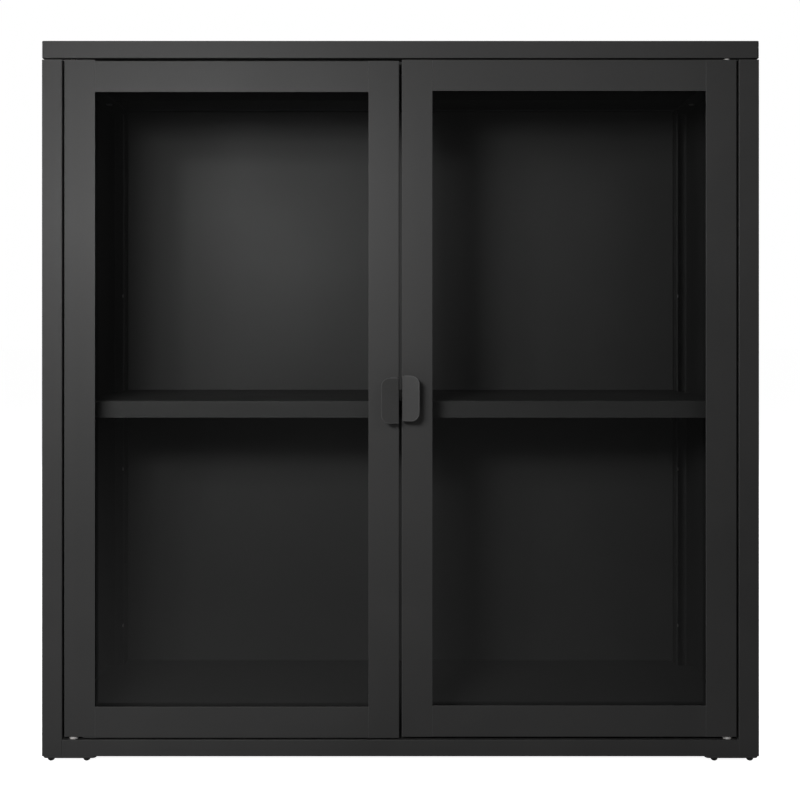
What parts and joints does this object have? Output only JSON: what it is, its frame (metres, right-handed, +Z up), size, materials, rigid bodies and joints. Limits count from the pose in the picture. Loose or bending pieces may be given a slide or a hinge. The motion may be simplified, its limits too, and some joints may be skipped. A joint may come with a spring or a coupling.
{
  "type": "wall mounted showcase",
  "caption": "Shallow sheet steel wall cabinet with framed glass doors on pivot pins, bent tab handles and a lift-out shelf, hung on keyholes behind its upper corners.",
  "frame": {"origin": "on the wall plane, midway between the centres of the two keyhole entries that the cabinet hangs from", "axes": "+X to the right seen from the front, +Y into the wall, +Z up; the doors face -Y"},
  "size_m": [0.7, 0.2891, 0.704],
  "materials": {
    "black_powder_coat": "matt fine-texture powder coat",
    "handle_powder_coat": "matt powder coat on the handles",
    "clear_glass": "clear float glass with ground edges",
    "seal_foam": "closed cell foam strip",
    "white_nylon": "turned nylon",
    "catch_plastic": "moulded plastic",
    "magnet_steel": "ground pole faces",
    "zinc_plated_steel": "bright zinc plate",
    "black_steel": "black oxide"
  },
  "bodies": {
    "cabinet": {"top_panel": "black_powder_coat", "bottom_panel": "black_powder_coat", "side_panel_left": "black_powder_coat", "side_panel_right": "black_powder_coat", "back_panel": "black_powder_coat", "back_panel_screws": "zinc_plated_steel", "hanger_bracket_left": "zinc_plated_steel", "hanger_bracket_right": "zinc_plated_steel", "hanger_screws": "zinc_plated_steel", "corner_plate_front_left": "black_powder_coat", "corner_plate_front_right": "black_powder_coat", "corner_plate_rear_left": "black_powder_coat", "corner_plate_rear_right": "black_powder_coat", "corner_plate_screws": "black_steel", "top_panel_screws": "zinc_plated_steel", "catch_housing": "catch_plastic", "catch_magnets": "magnet_steel", "catch_screws": "zinc_plated_steel", "shelf_clips": "zinc_plated_steel", "bush_bottom_left": "white_nylon", "bush_bottom_right": "white_nylon", "bush_top_left": "white_nylon", "bush_top_right": "white_nylon"},
    "left_door": {"hinge_stile_left": "black_powder_coat", "meeting_stile_left": "black_powder_coat", "top_rail_left": "black_powder_coat", "bottom_rail_left": "black_powder_coat", "door_glass_left": "clear_glass", "glass_seal_left": "seal_foam", "glass_clips_left": "zinc_plated_steel", "glass_clip_screws_left": "zinc_plated_steel", "handle_left": "handle_powder_coat", "handle_screws_left": "black_steel", "pivot_pin_top_left": "black_steel", "pivot_pin_bottom_left": "black_steel"},
    "right_door": {"hinge_stile_right": "black_powder_coat", "meeting_stile_right": "black_powder_coat", "top_rail_right": "black_powder_coat", "bottom_rail_right": "black_powder_coat", "door_glass_right": "clear_glass", "glass_seal_right": "seal_foam", "glass_clips_right": "zinc_plated_steel", "glass_clip_screws_right": "zinc_plated_steel", "handle_right": "handle_powder_coat", "handle_screws_right": "black_steel", "pivot_pin_top_right": "black_steel", "pivot_pin_bottom_right": "black_steel"},
    "shelf": {"shelf": "black_powder_coat"}
  },
  "joints": [
    {"name": "left_door_hinge", "type": "hinge", "parent": "cabinet", "child": "left_door", "pos_m": [-0.3199, -0.264, -0.2887], "axis": [0, 0, -1], "range_deg": [0, 110]},
    {"name": "right_door_hinge", "type": "hinge", "parent": "cabinet", "child": "right_door", "pos_m": [0.3199, -0.264, -0.2887], "axis": [0, 0, 1], "range_deg": [0, 110]},
    {"name": "shelf_lift", "type": "slide", "parent": "cabinet", "child": "shelf", "axis": [0, 0, 1], "range_m": [0, 0.225]}
  ]
}
